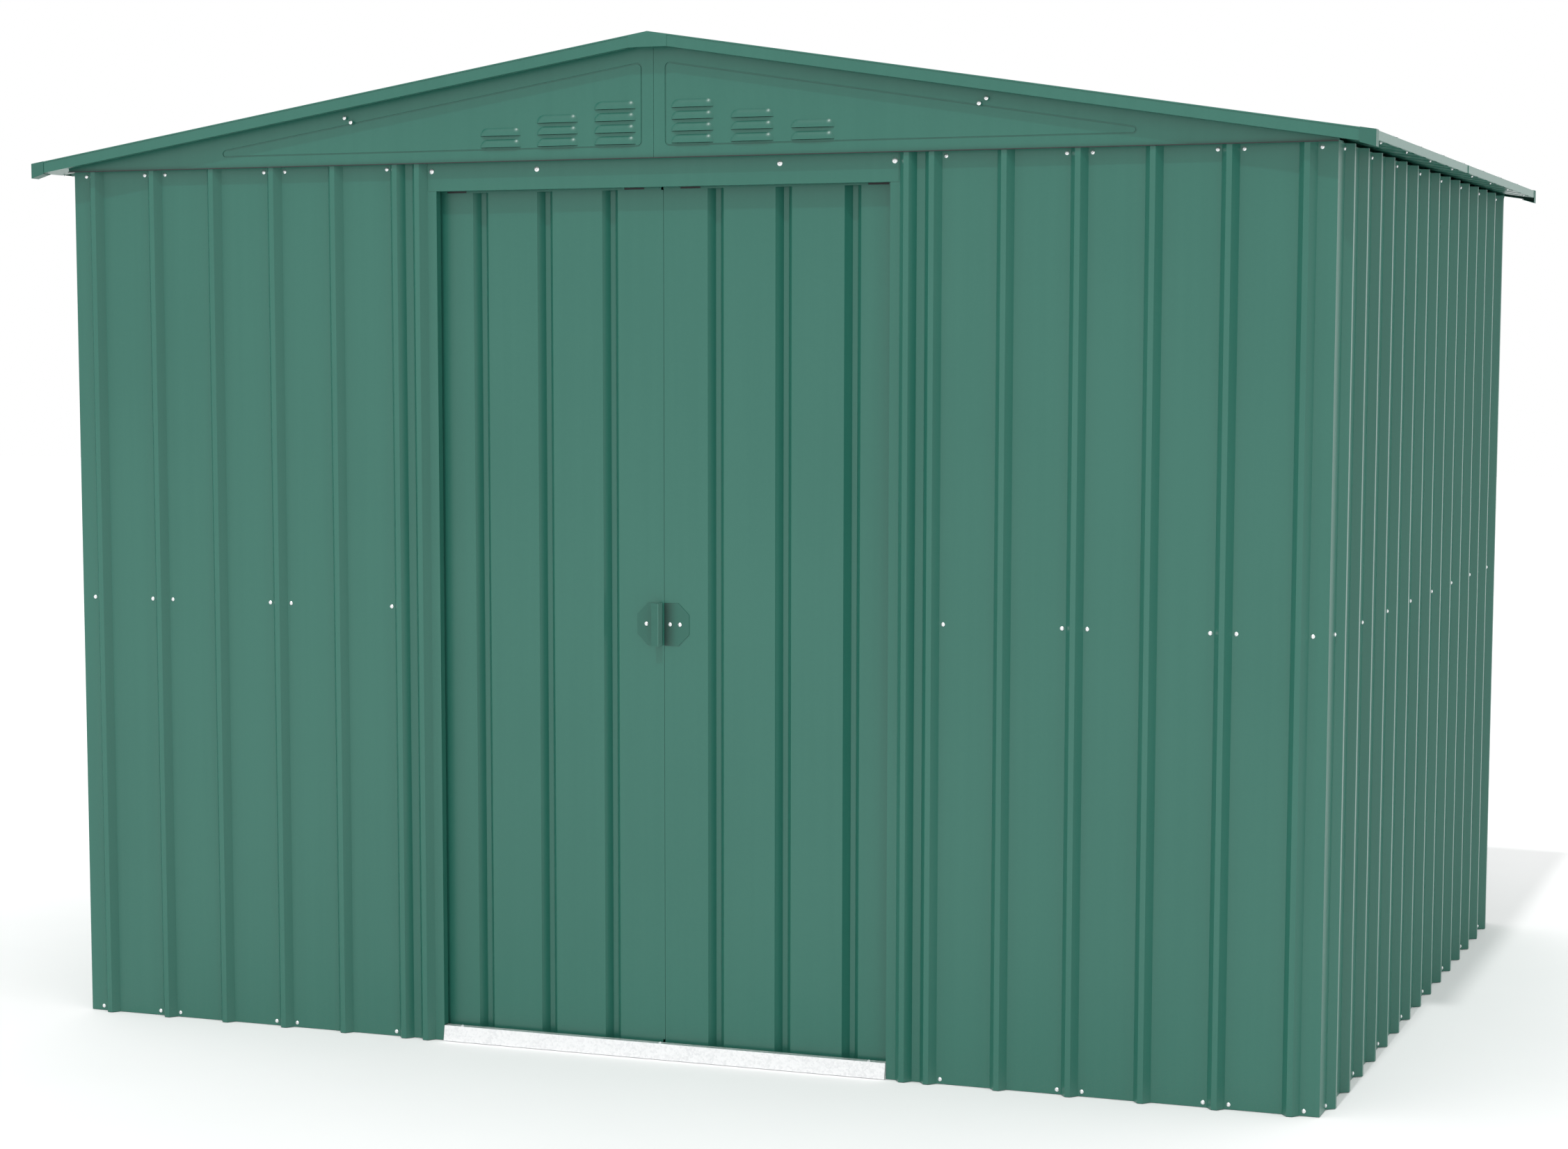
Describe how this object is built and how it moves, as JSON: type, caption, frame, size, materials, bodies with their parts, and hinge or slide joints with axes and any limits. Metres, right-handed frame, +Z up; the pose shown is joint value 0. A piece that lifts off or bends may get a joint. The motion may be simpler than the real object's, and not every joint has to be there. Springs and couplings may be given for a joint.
{
  "type": "metal storage shed with sliding doors",
  "caption": "Garden shed of ribbed sheet steel with a low apex roof, louvred gables, and a pair of sliding doors with an octagonal pull.",
  "frame": {"origin": "on the ground, under the middle of the shed", "axes": "+X to the right seen from the front, +Y from the doors towards the back wall, +Z up"},
  "size_m": [2.7744, 2.2174, 2.0056],
  "materials": {
    "painted_green": "satin sage-green coil coating",
    "galvanised_steel": "bright galvanised sheet",
    "black_plastic": "black nylon"
  },
  "bodies": {
    "shed": {"front_wall_left": "painted_green", "front_wall_right": "painted_green", "left_wall": "painted_green", "right_wall": "painted_green", "back_wall": "painted_green", "door_jamb_left": "painted_green", "door_jamb_right": "painted_green", "door_header": "painted_green", "front_gable_left": "painted_green", "front_gable_right": "painted_green", "back_gable_left": "painted_green", "back_gable_right": "painted_green", "roof_left": "painted_green", "roof_right": "painted_green", "ridge_cap": "painted_green", "front_verge_left": "painted_green", "front_verge_right": "painted_green", "back_verge_left": "painted_green", "back_verge_right": "painted_green", "left_eave_front": "painted_green", "left_eave_back": "painted_green", "right_eave_front": "painted_green", "right_eave_back": "painted_green", "corner_cap_front_left": "painted_green", "corner_cap_front_right": "painted_green", "corner_cap_back_left": "painted_green", "corner_cap_back_right": "painted_green", "door_track_top": "galvanised_steel", "door_track_bottom": "galvanised_steel", "door_threshold": "galvanised_steel", "base_rails": "galvanised_steel", "wall_top_rails": "galvanised_steel", "roof_beams": "galvanised_steel", "mid_rails_side": "galvanised_steel", "mid_rail_back": "galvanised_steel", "mid_rails_front": "galvanised_steel"},
    "left_door": {"door_leaf_left": "painted_green", "door_channels_left": "painted_green", "door_handle_left": "painted_green", "door_hangers_left": "black_plastic"},
    "right_door": {"door_leaf_right": "painted_green", "door_channels_right": "painted_green", "door_handle_right": "painted_green", "door_hangers_right": "black_plastic", "door_lap_strip": "painted_green"}
  },
  "joints": [
    {"name": "left_door_slide", "type": "slide", "parent": "shed", "child": "left_door", "axis": [-1, 0, 0], "range_m": [0, 0.41]},
    {"name": "right_door_slide", "type": "slide", "parent": "shed", "child": "right_door", "axis": [1, 0, 0], "range_m": [0, 0.41]}
  ]
}
